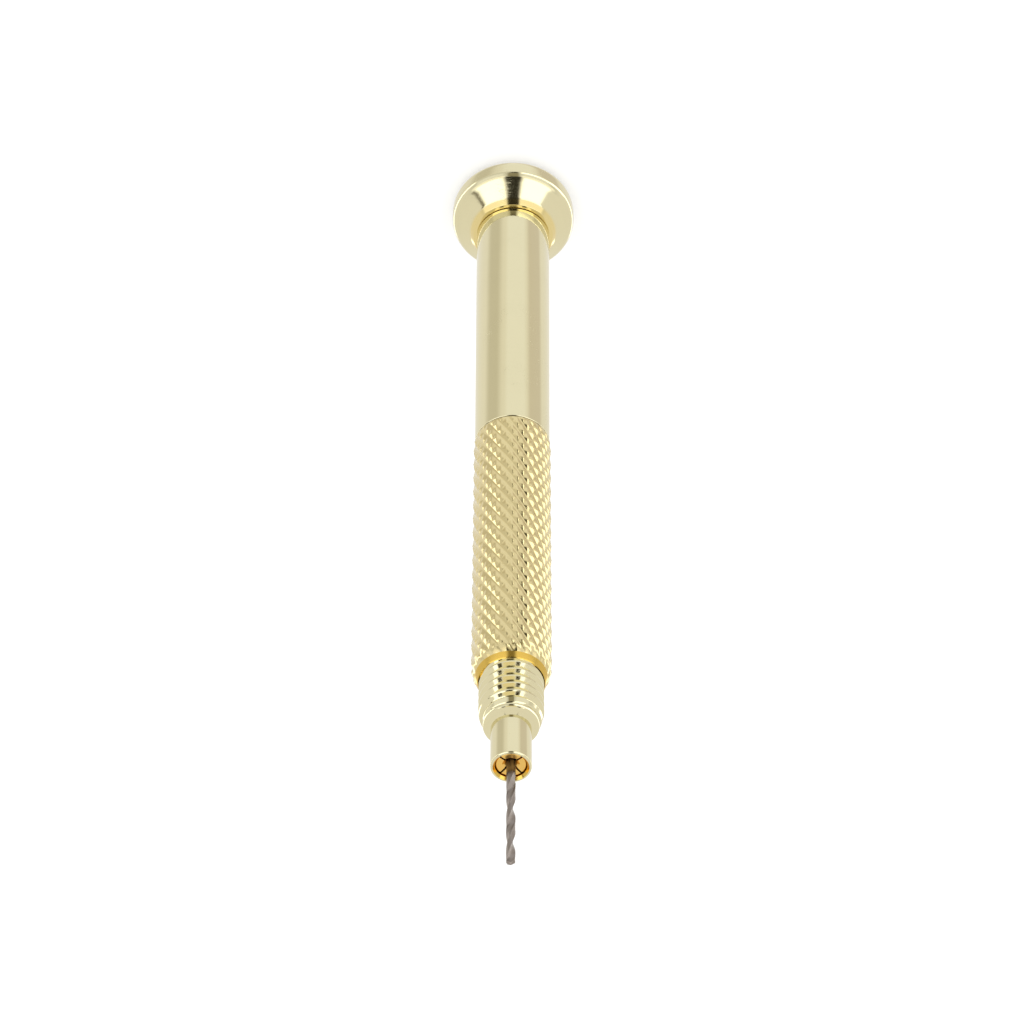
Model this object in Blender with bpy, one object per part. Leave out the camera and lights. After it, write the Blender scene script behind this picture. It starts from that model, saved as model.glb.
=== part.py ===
"""Pin vise drill: a pocket hand drill with a swivel cap, a knurled grip and a collet chuck.

The tool stands on its cap with the drill pointing up. The origin is the centre of the cap's
flat end, and +Z runs along the tool's axis from the cap to the drill. Units are metres.
"""
import math

import bmesh
import bpy
from mathutils import Matrix

MM = 0.001

# Segments around a turned piece
ROUND = 40
THREADED = 24
SMALL = 20

# Running gap between a piece and the one it turns, slides or is pressed in
FIT = 0.05 * MM

# Swivel cap
CAP_RADIUS = 5.14 * MM
CAP_HEIGHT = 4.28 * MM
CAP_END_EDGE = 1.1 * MM
CAP_RIM_TOP = 2.45 * MM
CAP_RIM_EDGE = 1.4 * MM
CAP_CONE_SLOPE = 1.17
CAP_COVE = 1.3 * MM
CAP_NECK_RADIUS = 3.07 * MM
COVER_RADIUS = 3.5 * MM
COVER_BOTTOM = 0.25 * MM
COVER_TOP = 0.72 * MM
SCREW_POCKET_RADIUS = 2.1 * MM
SCREW_POCKET_TOP = 1.6 * MM
CAP_BORE_RADIUS = 0.95 * MM
BEARING_RADIUS = 2.75 * MM
BEARING_FLOOR = 2.2 * MM

# Thrust bearing between the cap and the handle
BALLS = 8
BALL_RADIUS = 0.4 * MM
BALL_PITCH_RADIUS = 1.8 * MM
BALL_LEVEL = 3.05 * MM
WASHER_THICKNESS = 0.35 * MM
WASHER_BORE = 1.05 * MM
WASHER_RADIUS = 2.6 * MM
CAGE_THICKNESS = 0.36 * MM
CAGE_BORE = 1.15 * MM
CAGE_RADIUS = 2.5 * MM

# Pivot screw and the plug that holds it in the tube
SCREW_JOURNAL_RADIUS = 0.9 * MM
SCREW_SHANK_RADIUS = 0.7 * MM
SCREW_HEAD_RADIUS = 1.75 * MM
SCREW_HEAD_BOTTOM = 0.8 * MM
SCREW_HEAD_TOP = 1.36 * MM
SCREW_END = 8.0 * MM
SCREW_SLOT_WIDTH = 0.35 * MM
SCREW_SLOT_DEPTH = 0.25 * MM
SCREW_WASHER_THICKNESS = 0.14 * MM
PLUG_BOTTOM = 3.92 * MM
PLUG_TOP = 10.0 * MM
PLUG_HOLE_TOP = 8.6 * MM

# Handle tube
TUBE_BOTTOM = 4.36 * MM
TUBE_RADIUS = 3.05 * MM
TUBE_TAPER_START = 13.0 * MM
TUBE_TOP_RADIUS = 3.0 * MM
TUBE_BORE = 2.3 * MM
TUBE_EDGE = 0.06 * MM
SPIGOT_RADIUS = 2.6 * MM
SPIGOT_LENGTH = 4.9 * MM

# Knurled grip
GRIP_BOTTOM = 32.1 * MM
GRIP_TOP = 60.7 * MM
GRIP_RADIUS = 3.115 * MM
GRIP_TAPER_BOTTOM = 59.36 * MM
GRIP_TAPER_MIDDLE = 60.15 * MM
GRIP_TAPER_MIDDLE_RADIUS = 2.81 * MM
GRIP_TOP_FACE_RADIUS = 2.64 * MM
GRIP_BOTTOM_CHAMFER = 0.08 * MM
GRIP_WEB_BORE = 1.9 * MM
GRIP_MOUTH_RADIUS = 2.58 * MM
STOP_BOTTOM = 44.0 * MM
STOP_TOP = 51.95 * MM
STOP_BORE = 1.0 * MM

# M5 x 0.8 thread of the chuck: male on the sleeve, female in the grip
THREAD_HAND = 1
THREAD_PITCH = 0.8 * MM
THREAD_CREST = 2.5 * MM
THREAD_ROOT = 2.1 * MM
THREAD_ROOT_FLAT = 0.25
THREAD_FLANK = 0.289
THREAD_CREST_FLAT = 0.172
THREAD_BOTTOM = 54.27 * MM
THREAD_TURNS = 13
THREAD_TAPER_START = 64.2 * MM
THREAD_TAPER = 0.27
FEMALE_BORE = 2.17 * MM
FEMALE_MAJOR = 2.56 * MM
FEMALE_TIP_FLAT = 0.2
FEMALE_FLANK = 0.282
FEMALE_TURNS = 7

# Chuck sleeve
SLEEVE_BOTTOM = 53.6 * MM
SLEEVE_BORE = 1.45 * MM
SHOULDER_RADIUS = 2.15 * MM
SHOULDER_TOP = 65.62 * MM
NOSE_START = 65.72 * MM
NOSE_START_RADIUS = 1.62 * MM
NOSE_RADIUS = 1.56 * MM
NOSE_TOP = 70.1 * MM
NOSE_EDGE = 0.1 * MM
NOSE_CONE_START = 66.0 * MM
MOUTH_RADIUS = 1.22 * MM
MOUTH_EDGE_RADIUS = 1.42 * MM
MOUTH_CHAMFER = 0.22 * MM

# Collet
COLLET_BOTTOM = 52.05 * MM
COLLET_TOP = 69.85 * MM
COLLET_FLANGE_RADIUS = 1.95 * MM
COLLET_FLANGE_THICKNESS = 1.4 * MM
COLLET_CONE_GAP = 0.05 * MM
COLLET_RELIEF_BORE = 0.62 * MM
COLLET_JAW_BOTTOM = 62.0 * MM
COLLET_SLIT_BOTTOM = 57.5 * MM
COLLET_SLIT_WIDTH = 0.22 * MM

# Drill bit
DRILL_RADIUS = 0.35 * MM
DRILL_BOTTOM = 50.5 * MM
DRILL_TIP = 80.5 * MM
DRILL_POINT_ANGLE = math.radians(118)
DRILL_LEAD = 7.26 * MM
DRILL_FLUTE_START = 70.87 * MM
DRILL_FLUTE_RUNOUT = 1.6 * MM
DRILL_FLUTE_DEPTH = 0.19 * MM
DRILL_FLUTE_HALF_WIDTH = math.radians(54)
DRILL_JAW_GAP = 0.02 * MM


def clear_scene():
    """Take every object out of the scene."""
    for item in list(bpy.data.objects):
        bpy.data.objects.remove(item, do_unlink=True)


def metal(name, colour, roughness):
    """A plain metal."""
    material = bpy.data.materials.new(name)
    material.use_nodes = True
    shader = material.node_tree.nodes["Principled BSDF"]
    shader.inputs["Base Color"].default_value = (*colour, 1)
    shader.inputs["Metallic"].default_value = 1
    shader.inputs["Roughness"].default_value = roughness
    return material


def arc(centre_r, centre_z, radius, first, last, steps=4):
    """Points (r, z) along an arc, from the first angle to the last."""
    angles = [first + (last - first) * step / steps for step in range(steps + 1)]
    return [(centre_r + radius * math.cos(angle), centre_z + radius * math.sin(angle)) for angle in angles]


def rounded(corners):
    """The outline through corners (r, z) or (r, z, edge radius), with arcs at the rounded ones."""
    points = []
    for index, corner in enumerate(corners):
        if isinstance(corner, dict) or len(corner) == 2:
            points.append(corner)
            continue
        r, z, radius = corner
        before = corners[index - 1]
        after = corners[(index + 1) % len(corners)]
        in_r, in_z = unit(before[0] - r, before[1] - z)
        out_r, out_z = unit(after[0] - r, after[1] - z)
        half = math.acos(in_r * out_r + in_z * out_z) / 2
        mid_r, mid_z = unit(in_r + out_r, in_z + out_z)
        centre_r = r + mid_r * radius / math.sin(half)
        centre_z = z + mid_z * radius / math.sin(half)
        reach = radius / math.tan(half)
        first = math.atan2(z + in_z * reach - centre_z, r + in_r * reach - centre_r)
        last = math.atan2(z + out_z * reach - centre_z, r + out_r * reach - centre_r)
        sweep = (last - first + math.pi) % (2 * math.pi) - math.pi
        points += arc(centre_r, centre_z, radius, first, first + sweep)
    return points


def unit(r, z):
    """The direction of (r, z), one long."""
    length = math.hypot(r, z)
    return r / length, z / length


def ring(mesh, r, z, segments):
    """A level ring of vertices, or a single vertex on the axis."""
    if r == 0:
        return [mesh.verts.new((0, 0, z))]
    turn = 2 * math.pi / segments
    return [mesh.verts.new((r * math.cos(turn * i), r * math.sin(turn * i), z)) for i in range(segments)]


def bridge(mesh, lower, upper):
    """Faces between two rings, either of which may be a single vertex."""
    if len(lower) == 1:
        lower, upper = upper, lower
    count = len(lower)
    for i in range(count):
        j = (i + 1) % count
        if len(upper) == 1:
            mesh.faces.new((lower[i], lower[j], upper[0]))
        else:
            mesh.faces.new((lower[i], lower[j], upper[j], upper[i]))


def thread_strip(mesh, below, thread, segments):
    """A helical thread that grows out of the ring below it; returns the function that closes its top."""
    profile = thread["profile"]
    last = thread["turns"] * segments
    fade = segments // 4
    columns = []
    for k in range(last + 1):
        angle = THREAD_HAND * 2 * math.pi * k / segments
        column = []
        for fraction, radius in profile:
            start = min(1, k / fade)
            end = min(1, (last - k) / fade)
            r = radius + (thread["start_r"] - radius) * (1 - start)
            r += (thread["end_r"] - r) * (1 - end)
            z = thread["z"] + THREAD_PITCH * (k / segments + fraction)
            r = min(r, thread["limit"](z))
            column.append(mesh.verts.new((r * math.cos(angle), r * math.sin(angle), z)))
        columns.append(column)
    for k in range(last + 1):
        if k + segments <= last:
            columns[k].append(columns[k + segments][0])
            continue
        angle = THREAD_HAND * 2 * math.pi * k / segments
        z = thread["z"] + THREAD_PITCH * (k / segments + 1 + profile[0][0])
        r = thread["end_r"]
        columns[k].append(mesh.verts.new((r * math.cos(angle), r * math.sin(angle), z)))
    for k in range(last):
        for j in range(len(profile)):
            mesh.faces.new((columns[k][j], columns[k + 1][j], columns[k + 1][j + 1], columns[k][j + 1]))

    def seat(rim, k):
        return rim[(THREAD_HAND * k) % segments]

    for k in range(segments - 1):
        mesh.faces.new((seat(below, k), seat(below, k + 1), columns[k + 1][0], columns[k][0]))
    hub = columns[segments - 1][0]
    edge = [seat(below, segments - 1), seat(below, 0), *columns[0]]
    for first, second in zip(edge, edge[1:]):
        mesh.faces.new((hub, first, second))

    def close(above):
        top = [column[-1] for column in columns[last - segments:]]
        for k in range(1, segments):
            mesh.faces.new((top[k], top[k + 1], seat(above, k + 1), seat(above, k)))
        edge = [*columns[last], seat(above, 0), seat(above, 1)]
        for first, second in zip(edge, edge[1:]):
            mesh.faces.new((top[1], first, second))

    return close


def turned(name, outline, material, segments=ROUND, closed=True):
    """A turned piece: the outline (r, z) swept around the axis, with any thread in its place.

    A closed outline comes back to its start, as a ring's does; an open one starts and ends on the axis.
    """
    mesh = bmesh.new()
    first = previous = close = None
    for entry in outline:
        if isinstance(entry, dict):
            close = thread_strip(mesh, previous, entry, segments)
            continue
        current = ring(mesh, entry[0], entry[1], segments)
        if close:
            close(current)
            close = None
        elif previous:
            bridge(mesh, previous, current)
        first = first or current
        previous = current
    if closed:
        bridge(mesh, previous, first)
    return finish(name, mesh, material)


def finish(name, mesh, material):
    """Turn a mesh under construction into a named, smooth object."""
    bmesh.ops.recalc_face_normals(mesh, faces=mesh.faces)
    if mesh.calc_volume(signed=True) < 0:
        bmesh.ops.reverse_faces(mesh, faces=mesh.faces)
    data = bpy.data.meshes.new(name)
    mesh.to_mesh(data)
    mesh.free()
    data.shade_smooth()
    data.set_sharp_from_angle(angle=math.radians(30))
    data.materials.append(material)
    piece = bpy.data.objects.new(name, data)
    bpy.context.scene.collection.objects.link(piece)
    return piece


def cutter(name, mesh):
    """A hidden cutting tool."""
    tool = finish(name, mesh, bpy.data.materials["guide"])
    tool.hide_render = True
    tool.display_type = "WIRE"
    return tool


def box(mesh, size, centre, turn=0):
    """Add a box of the given size, turned about the axis."""
    place = Matrix.Rotation(turn, 4, "Z") @ Matrix.Translation(centre) @ Matrix.Diagonal((*size, 1))
    bmesh.ops.create_cube(mesh, size=1, matrix=place)


def cut(piece, tool):
    """Cut the tool's shape out of the piece."""
    modifier = piece.modifiers.new(tool.name, "BOOLEAN")
    modifier.operation = "DIFFERENCE"
    modifier.solver = "EXACT"
    modifier.object = tool


def make_cap(gold):
    """The swivel cap: rim, cone and cove outside; cover seat, screw pocket and bearing recess inside."""
    cone_angle = math.atan(CAP_CONE_SLOPE)
    cone_foot = CAP_RIM_TOP + (CAP_RADIUS - CAP_NECK_RADIUS) / CAP_CONE_SLOPE
    cove_level = cone_foot + CAP_COVE * math.tan(cone_angle / 2)
    lip_angle = math.asin((cove_level - CAP_HEIGHT) / CAP_COVE)
    cove = arc(CAP_NECK_RADIUS + CAP_COVE, cove_level, CAP_COVE, math.pi + cone_angle, math.pi + lip_angle)
    turned("swivel_cap", rounded([
        (COVER_RADIUS + FIT, 0),
        (CAP_RADIUS, 0, CAP_END_EDGE),
        (CAP_RADIUS, CAP_RIM_TOP, CAP_RIM_EDGE),
        *cove,
        (BEARING_RADIUS, CAP_HEIGHT),
        (BEARING_RADIUS, BEARING_FLOOR),
        (CAP_BORE_RADIUS, BEARING_FLOOR),
        (CAP_BORE_RADIUS, SCREW_POCKET_TOP),
        (SCREW_POCKET_RADIUS, SCREW_POCKET_TOP),
        (SCREW_POCKET_RADIUS, COVER_TOP + FIT),
        (COVER_RADIUS + FIT, COVER_TOP + FIT),
    ]), gold)


def make_cap_cover(gold):
    """The dished disc that closes the cap's end, just below its rest ring."""
    turned("cap_cover", [
        (0, COVER_BOTTOM + 0.12 * MM),
        (COVER_RADIUS * 0.8, COVER_BOTTOM + 0.12 * MM),
        (COVER_RADIUS * 0.86, COVER_BOTTOM),
        (COVER_RADIUS, COVER_BOTTOM),
        (COVER_RADIUS, COVER_TOP),
        (0, COVER_TOP),
    ], gold, closed=False)


def make_washer(name, bottom, thickness, bore, radius, steel):
    """A flat washer with a groove-free face."""
    turned(name, [
        (radius, bottom),
        (radius, bottom + thickness),
        (bore, bottom + thickness),
        (bore, bottom),
    ], steel, segments=32)


def make_bearing(steel, brass):
    """The thrust bearing: two washers, a cage and its balls."""
    make_washer("housing_washer", BALL_LEVEL - BALL_RADIUS - FIT - WASHER_THICKNESS,
                WASHER_THICKNESS, WASHER_BORE, WASHER_RADIUS, steel)
    make_washer("shaft_washer", BALL_LEVEL + BALL_RADIUS + FIT,
                WASHER_THICKNESS, WASHER_BORE, WASHER_RADIUS, steel)
    cage = turned("ball_cage", [
        (CAGE_RADIUS, BALL_LEVEL - CAGE_THICKNESS / 2),
        (CAGE_RADIUS, BALL_LEVEL + CAGE_THICKNESS / 2),
        (CAGE_BORE, BALL_LEVEL + CAGE_THICKNESS / 2),
        (CAGE_BORE, BALL_LEVEL - CAGE_THICKNESS / 2),
    ], brass, segments=32)
    holes = bmesh.new()
    for number in range(BALLS):
        turn = Matrix.Rotation(2 * math.pi * number / BALLS, 4, "Z")
        place = turn @ Matrix.Translation((BALL_PITCH_RADIUS, 0, BALL_LEVEL))
        bmesh.ops.create_cone(holes, cap_ends=True, segments=12, radius1=BALL_RADIUS + FIT,
                              radius2=BALL_RADIUS + FIT, depth=2 * CAGE_THICKNESS, matrix=place)
    cut(cage, cutter("ball_holes", holes))
    for number in range(BALLS):
        ball = bmesh.new()
        bmesh.ops.create_uvsphere(ball, u_segments=10, v_segments=6, radius=BALL_RADIUS)
        piece = finish(f"ball_{number + 1}", ball, steel)
        angle = 2 * math.pi * number / BALLS
        piece.location = (BALL_PITCH_RADIUS * math.cos(angle), BALL_PITCH_RADIUS * math.sin(angle), BALL_LEVEL)


def make_pivot(steel, brass):
    """The pivot screw, its washer, and the plug in the tube that it is screwed into."""
    screw = turned("pivot_screw", [
        (0, SCREW_HEAD_BOTTOM),
        (SCREW_HEAD_RADIUS, SCREW_HEAD_BOTTOM),
        (SCREW_HEAD_RADIUS, SCREW_HEAD_TOP),
        (SCREW_JOURNAL_RADIUS, SCREW_HEAD_TOP),
        (SCREW_JOURNAL_RADIUS, PLUG_BOTTOM - FIT),
        (SCREW_SHANK_RADIUS, PLUG_BOTTOM - FIT),
        (SCREW_SHANK_RADIUS, SCREW_END - 0.2 * MM),
        (SCREW_SHANK_RADIUS - 0.2 * MM, SCREW_END),
        (0, SCREW_END),
    ], steel, segments=24, closed=False)
    slot = bmesh.new()
    box(slot, (4 * SCREW_HEAD_RADIUS, SCREW_SLOT_WIDTH, 2 * SCREW_SLOT_DEPTH), (0, 0, SCREW_HEAD_BOTTOM))
    cut(screw, cutter("screw_slot", slot))
    make_washer("screw_washer", SCREW_HEAD_TOP + FIT, SCREW_WASHER_THICKNESS,
                SCREW_JOURNAL_RADIUS + FIT, SCREW_HEAD_RADIUS, steel)
    turned("pivot_plug", [
        (0, PLUG_HOLE_TOP),
        (SCREW_SHANK_RADIUS + FIT, PLUG_HOLE_TOP - 0.4 * MM),
        (SCREW_SHANK_RADIUS + FIT, PLUG_BOTTOM),
        (TUBE_BORE - FIT, PLUG_BOTTOM),
        (TUBE_BORE - FIT, PLUG_TOP),
        (0, PLUG_TOP),
    ], brass, segments=24, closed=False)


def make_tube(gold):
    """The smooth handle tube, with the spigot that the grip is pressed onto."""
    turned("handle_tube", [
        (TUBE_RADIUS - TUBE_EDGE, TUBE_BOTTOM),
        (TUBE_RADIUS, TUBE_BOTTOM + TUBE_EDGE),
        (TUBE_RADIUS, TUBE_TAPER_START),
        (TUBE_TOP_RADIUS, GRIP_BOTTOM - FIT),
        (SPIGOT_RADIUS, GRIP_BOTTOM - FIT),
        (SPIGOT_RADIUS, GRIP_BOTTOM + SPIGOT_LENGTH),
        (TUBE_BORE, GRIP_BOTTOM + SPIGOT_LENGTH),
        (TUBE_BORE, TUBE_BOTTOM),
    ], gold, segments=32)


def female_thread():
    """The grip's thread: grooves cut outward from the bore, one pitch behind the sleeve's."""
    tip_start = (THREAD_ROOT_FLAT - FEMALE_TIP_FLAT) / 2
    tip_end = tip_start + FEMALE_TIP_FLAT
    return {
        "z": THREAD_BOTTOM - THREAD_PITCH,
        "turns": FEMALE_TURNS,
        "start_r": FEMALE_BORE,
        "end_r": FEMALE_MAJOR,
        "profile": [
            (tip_start, FEMALE_BORE),
            (tip_end, FEMALE_BORE),
            (tip_end + FEMALE_FLANK, FEMALE_MAJOR),
            (tip_start + 1 - FEMALE_FLANK, FEMALE_MAJOR),
        ],
        "limit": lambda z: FEMALE_MAJOR,
    }


def male_thread():
    """The sleeve's thread, which tapers off and fades into the shoulder in front of it."""
    crest_start = THREAD_ROOT_FLAT + THREAD_FLANK
    return {
        "z": THREAD_BOTTOM,
        "turns": THREAD_TURNS,
        "start_r": THREAD_ROOT,
        "end_r": SHOULDER_RADIUS,
        "profile": [
            (0, THREAD_ROOT),
            (THREAD_ROOT_FLAT, THREAD_ROOT),
            (crest_start, THREAD_CREST),
            (crest_start + THREAD_CREST_FLAT, THREAD_CREST),
        ],
        "limit": lambda z: THREAD_CREST - THREAD_TAPER * max(0, z - THREAD_TAPER_START),
    }


def make_grip(gold):
    """The grip: counterbore for the tube's spigot, seat for the collet stop, and the female thread."""
    thread = female_thread()
    thread_top = thread["z"] + THREAD_PITCH * (FEMALE_TURNS + 1 + thread["profile"][0][0])
    counterbore_top = GRIP_BOTTOM + SPIGOT_LENGTH + FIT
    turned("knurled_grip", [
        (GRIP_TOP_FACE_RADIUS, GRIP_TOP),
        (GRIP_TAPER_MIDDLE_RADIUS, GRIP_TAPER_MIDDLE),
        (GRIP_RADIUS, GRIP_TAPER_BOTTOM),
        (GRIP_RADIUS, GRIP_BOTTOM + GRIP_BOTTOM_CHAMFER),
        (GRIP_RADIUS - GRIP_BOTTOM_CHAMFER, GRIP_BOTTOM),
        (SPIGOT_RADIUS + FIT, GRIP_BOTTOM),
        (SPIGOT_RADIUS + FIT, counterbore_top),
        (GRIP_WEB_BORE, counterbore_top),
        (GRIP_WEB_BORE, STOP_BOTTOM - FIT),
        (FEMALE_BORE, STOP_BOTTOM - FIT),
        (FEMALE_BORE, thread["z"] - FIT),
        thread,
        (FEMALE_MAJOR, thread_top + FIT),
        (GRIP_MOUTH_RADIUS, GRIP_TOP),
    ], gold, segments=THREADED)


def make_collet_stop(steel):
    """The sleeve inside the grip that the collet is pushed against."""
    turned("collet_stop", [
        (FEMALE_BORE - FIT, STOP_BOTTOM),
        (FEMALE_BORE - FIT, STOP_TOP),
        (STOP_BORE, STOP_TOP),
        (STOP_BORE, STOP_BOTTOM),
    ], steel, segments=THREADED)


def make_sleeve(gold):
    """The chuck sleeve: male thread, plain shoulder and nose, with the closing cone inside."""
    thread = male_thread()
    thread_top = THREAD_BOTTOM + THREAD_PITCH * (THREAD_TURNS + 1)
    outline = rounded([
        (SLEEVE_BORE, SLEEVE_BOTTOM),
        (THREAD_ROOT - 0.2 * MM, SLEEVE_BOTTOM),
        (THREAD_ROOT, SLEEVE_BOTTOM + 0.2 * MM),
        (THREAD_ROOT, THREAD_BOTTOM - FIT),
        thread,
        (SHOULDER_RADIUS, thread_top + FIT),
        (SHOULDER_RADIUS, SHOULDER_TOP),
        (NOSE_START_RADIUS, NOSE_START),
        (NOSE_RADIUS, NOSE_TOP, NOSE_EDGE),
        (MOUTH_EDGE_RADIUS, NOSE_TOP),
        (MOUTH_RADIUS, NOSE_TOP - MOUTH_CHAMFER),
        (SLEEVE_BORE, NOSE_CONE_START),
    ])
    turned("chuck_sleeve", outline, gold, segments=THREADED)


def make_collet(brass):
    """The collet: a flanged tube whose cone-nosed front is slit into four jaws."""
    slope = (SLEEVE_BORE - MOUTH_RADIUS) / (NOSE_TOP - MOUTH_CHAMFER - NOSE_CONE_START)
    body_radius = SLEEVE_BORE - FIT
    nose_radius = SLEEVE_BORE - COLLET_CONE_GAP - slope * (COLLET_TOP - NOSE_CONE_START)
    flange_top = COLLET_BOTTOM + COLLET_FLANGE_THICKNESS
    collet = turned("collet", [
        (COLLET_FLANGE_RADIUS, COLLET_BOTTOM),
        (COLLET_FLANGE_RADIUS, flange_top),
        (body_radius, flange_top),
        (body_radius, NOSE_CONE_START),
        (nose_radius, COLLET_TOP),
        (DRILL_RADIUS + DRILL_JAW_GAP, COLLET_TOP),
        (DRILL_RADIUS + DRILL_JAW_GAP, COLLET_JAW_BOTTOM),
        (COLLET_RELIEF_BORE, COLLET_JAW_BOTTOM - 0.3 * MM),
        (COLLET_RELIEF_BORE, COLLET_BOTTOM),
    ], brass, segments=THREADED)
    length = 2 * (COLLET_TOP - COLLET_SLIT_BOTTOM)
    for number, turn in enumerate((math.radians(45), math.radians(135))):
        plate = bmesh.new()
        size = (4 * COLLET_FLANGE_RADIUS, COLLET_SLIT_WIDTH, length)
        box(plate, size, (0, 0, COLLET_SLIT_BOTTOM + length / 2), turn)
        cut(collet, cutter(f"slit_{number + 1}", plate))


def make_drill(steel):
    """The twist drill: a plain shank, two helical flutes and a conical point."""
    point_height = DRILL_RADIUS / math.tan(DRILL_POINT_ANGLE / 2)
    point_start = DRILL_TIP - point_height
    rows = 26
    levels = [DRILL_BOTTOM + 0.05 * MM, DRILL_FLUTE_START]
    levels += [DRILL_FLUTE_START + (point_start - DRILL_FLUTE_START) * row / rows for row in range(1, rows + 1)]
    levels += [point_start + point_height * part for part in (0.35, 0.7)]
    mesh = bmesh.new()
    previous = ring(mesh, 0, DRILL_BOTTOM, SMALL)
    current = ring(mesh, DRILL_RADIUS - 0.05 * MM, DRILL_BOTTOM, SMALL)
    bridge(mesh, previous, current)
    for z in levels:
        previous = current
        depth = DRILL_FLUTE_DEPTH * max(0, min(1, (z - DRILL_FLUTE_START) / DRILL_FLUTE_RUNOUT))
        twist = 2 * math.pi * (z - DRILL_FLUTE_START) / DRILL_LEAD
        limit = DRILL_RADIUS * min(1, (DRILL_TIP - z) / point_height)
        current = []
        for i in range(SMALL):
            angle = 2 * math.pi * i / SMALL
            from_flute = abs((angle + math.pi / 2) % math.pi - math.pi / 2) / DRILL_FLUTE_HALF_WIDTH
            flute = depth * math.sqrt(max(0, 1 - from_flute ** 2))
            r = min(DRILL_RADIUS - flute, limit)
            current.append(mesh.verts.new((r * math.cos(angle + twist), r * math.sin(angle + twist), z)))
        bridge(mesh, previous, current)
    bridge(mesh, current, ring(mesh, 0, DRILL_TIP, SMALL))
    finish("drill", mesh, steel)


def main():
    clear_scene()
    gold = metal("polished_gold_brass", (0.80, 0.68, 0.42), 0.12)
    brass = metal("turned_brass", (0.72, 0.50, 0.20), 0.25)
    steel = metal("bearing_steel", (0.56, 0.56, 0.58), 0.2)
    drill_steel = metal("drill_steel", (0.30, 0.27, 0.25), 0.35)
    metal("guide", (0.5, 0.5, 0.5), 0.5)
    make_cap(gold)
    make_cap_cover(gold)
    make_bearing(steel, brass)
    make_pivot(steel, brass)
    make_tube(gold)
    make_grip(gold)
    make_collet_stop(steel)
    make_sleeve(gold)
    make_collet(brass)
    make_drill(drill_steel)


if __name__ == "__main__":
    main()
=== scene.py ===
"""Pin vise drill: a pocket hand drill in polished pale brass, standing on its swivel cap.

Each piece of the tool is one operator; the sizes and colours a user would change are properties of
the scene. All lengths are metres, and +Z runs along the tool's axis from the cap to the drill.
"""
import math

import bmesh
import bpy
from bpy.props import FloatProperty, FloatVectorProperty, IntProperty, PointerProperty
from bpy.types import Operator, Panel, PropertyGroup
from mathutils import Matrix, Vector


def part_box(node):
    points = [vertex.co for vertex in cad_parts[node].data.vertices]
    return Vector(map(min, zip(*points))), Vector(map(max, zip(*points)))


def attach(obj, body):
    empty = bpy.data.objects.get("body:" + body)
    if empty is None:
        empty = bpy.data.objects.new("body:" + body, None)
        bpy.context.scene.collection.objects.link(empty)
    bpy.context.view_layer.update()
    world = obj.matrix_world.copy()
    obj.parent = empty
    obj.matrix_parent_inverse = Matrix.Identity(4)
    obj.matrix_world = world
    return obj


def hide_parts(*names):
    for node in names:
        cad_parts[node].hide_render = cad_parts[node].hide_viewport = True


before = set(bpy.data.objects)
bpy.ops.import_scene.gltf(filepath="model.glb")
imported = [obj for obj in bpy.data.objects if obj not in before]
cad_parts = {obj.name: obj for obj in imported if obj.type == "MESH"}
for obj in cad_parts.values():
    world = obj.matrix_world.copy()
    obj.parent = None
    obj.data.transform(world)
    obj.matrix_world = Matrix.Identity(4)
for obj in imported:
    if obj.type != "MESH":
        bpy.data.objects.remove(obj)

bl_info = {
    "name": "Pin Vise Drill",
    "version": (1, 0, 0),
    "blender": (4, 5, 0),
    "location": "3D View > Sidebar > Pin Vise",
    "description": "Builds a pocket pin vise drill with a knurled grip, a collet chuck and a twist drill",
    "category": "Add Mesh",
}

MM = 0.001

CAP_LOW, CAP_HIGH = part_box("swivel_cap")
COVER_LOW, COVER_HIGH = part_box("cap_cover")
TUBE_LOW, TUBE_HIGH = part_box("handle_tube")
GRIP_LOW, GRIP_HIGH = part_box("knurled_grip")
SLEEVE_LOW, SLEEVE_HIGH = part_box("chuck_sleeve")
COLLET_LOW, COLLET_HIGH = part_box("collet")
DRILL_LOW, DRILL_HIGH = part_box("drill")


# ---------------------------------------------------------------- settings

class CapSettings(PropertyGroup):
    rim_edge: FloatProperty(
        name="Rim Edge", description="Rounding between rim and cone", default=1.4 * MM,
        min=0.1 * MM, max=1.6 * MM, unit="LENGTH")
    end_edge: FloatProperty(
        name="End Edge", description="Rounding between rim and rest face", default=1.1 * MM,
        min=0.1 * MM, max=1.2 * MM, unit="LENGTH")
    rim_top: FloatProperty(
        name="Rim Top", description="Height at which the rim meets the cone", default=2.45 * MM,
        min=2 * MM, max=3 * MM, unit="LENGTH")
    cone_slope: FloatProperty(
        name="Cone Slope", description="Radius lost on the cone for each unit of height", default=1.17,
        min=0.8, max=1.5)
    step_width: FloatProperty(
        name="Step Width", description="Width of the steeper step between cone and tube", default=0.58 * MM,
        min=0.4 * MM, max=0.8 * MM, unit="LENGTH")
    neck_radius: FloatProperty(
        name="Neck Radius", description="Inner radius of the step, next to the tube", default=3.07 * MM,
        min=3 * MM, max=3.3 * MM, unit="LENGTH")


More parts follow.
